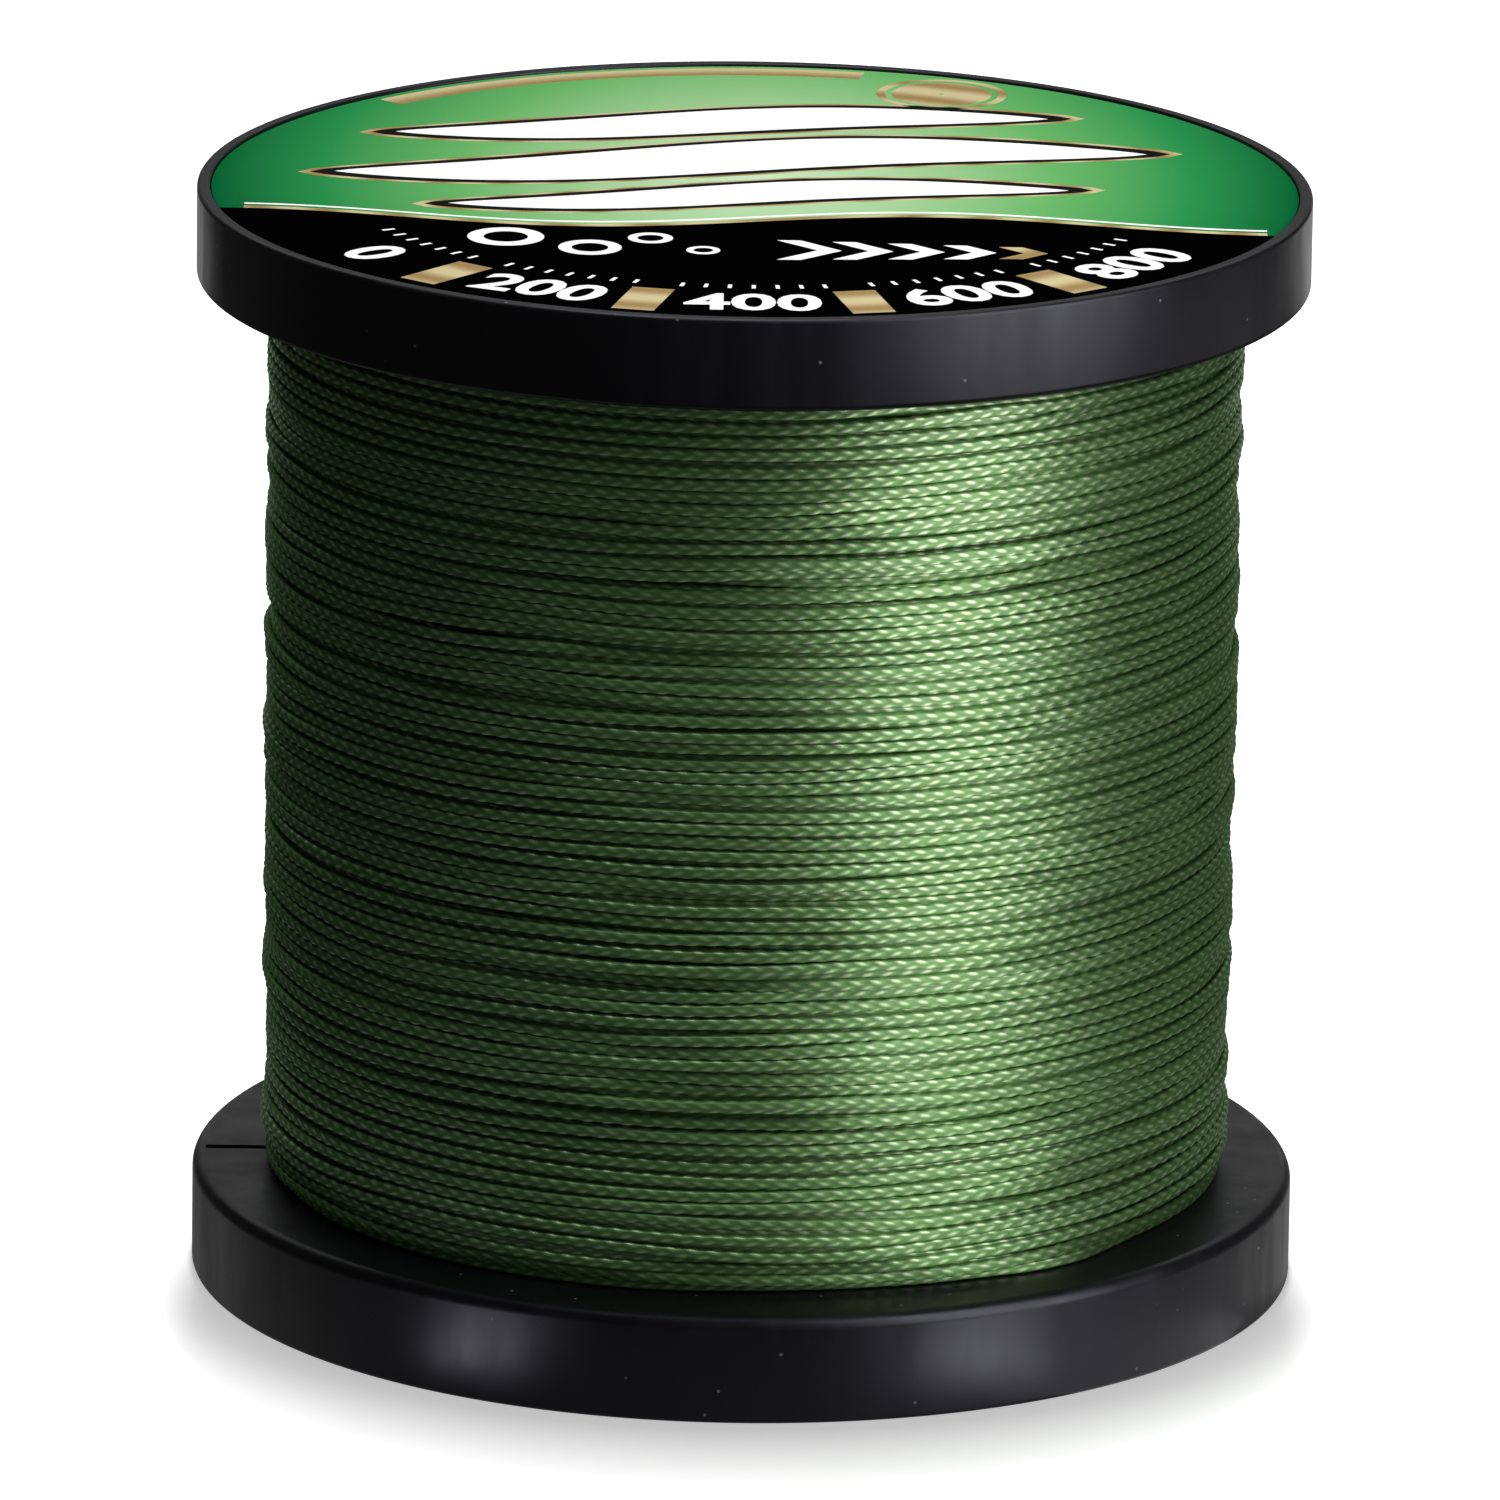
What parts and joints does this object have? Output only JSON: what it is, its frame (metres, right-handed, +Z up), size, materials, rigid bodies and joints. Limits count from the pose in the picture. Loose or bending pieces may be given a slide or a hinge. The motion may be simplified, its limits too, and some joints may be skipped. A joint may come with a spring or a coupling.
{
  "type": "fishing line spool",
  "caption": "Round spool of braided fishing line: two hollow black plastic flanges on a core tube, a printed label on each end and a central arbor hole open from below.",
  "frame": {"origin": "centre of the lower rim, on the surface the spool stands on", "axes": "+Z up the arbor from the lower rim to the printed upper label; the slot in the lower flange runs along -X; both ends of the outer layer are at +Y"},
  "size_m": [0.1, 0.1, 0.1004],
  "materials": {
    "flange_plastic": "satin",
    "tube_plastic": "matte",
    "cover_plastic": "satin",
    "lower_label_film": "satin",
    "upper_label_film": "satin",
    "braided_line": "satin"
  },
  "bodies": {
    "root": {"lower_flange": "flange_plastic", "upper_flange": "flange_plastic", "core_tube": "tube_plastic", "lower_cover": "cover_plastic", "upper_cover": "cover_plastic", "lower_label": "lower_label_film", "upper_label": "upper_label_film", "line_start": "braided_line", "line_bulk": "braided_line", "line_outer_turns": "braided_line"}
  },
  "joints": []
}
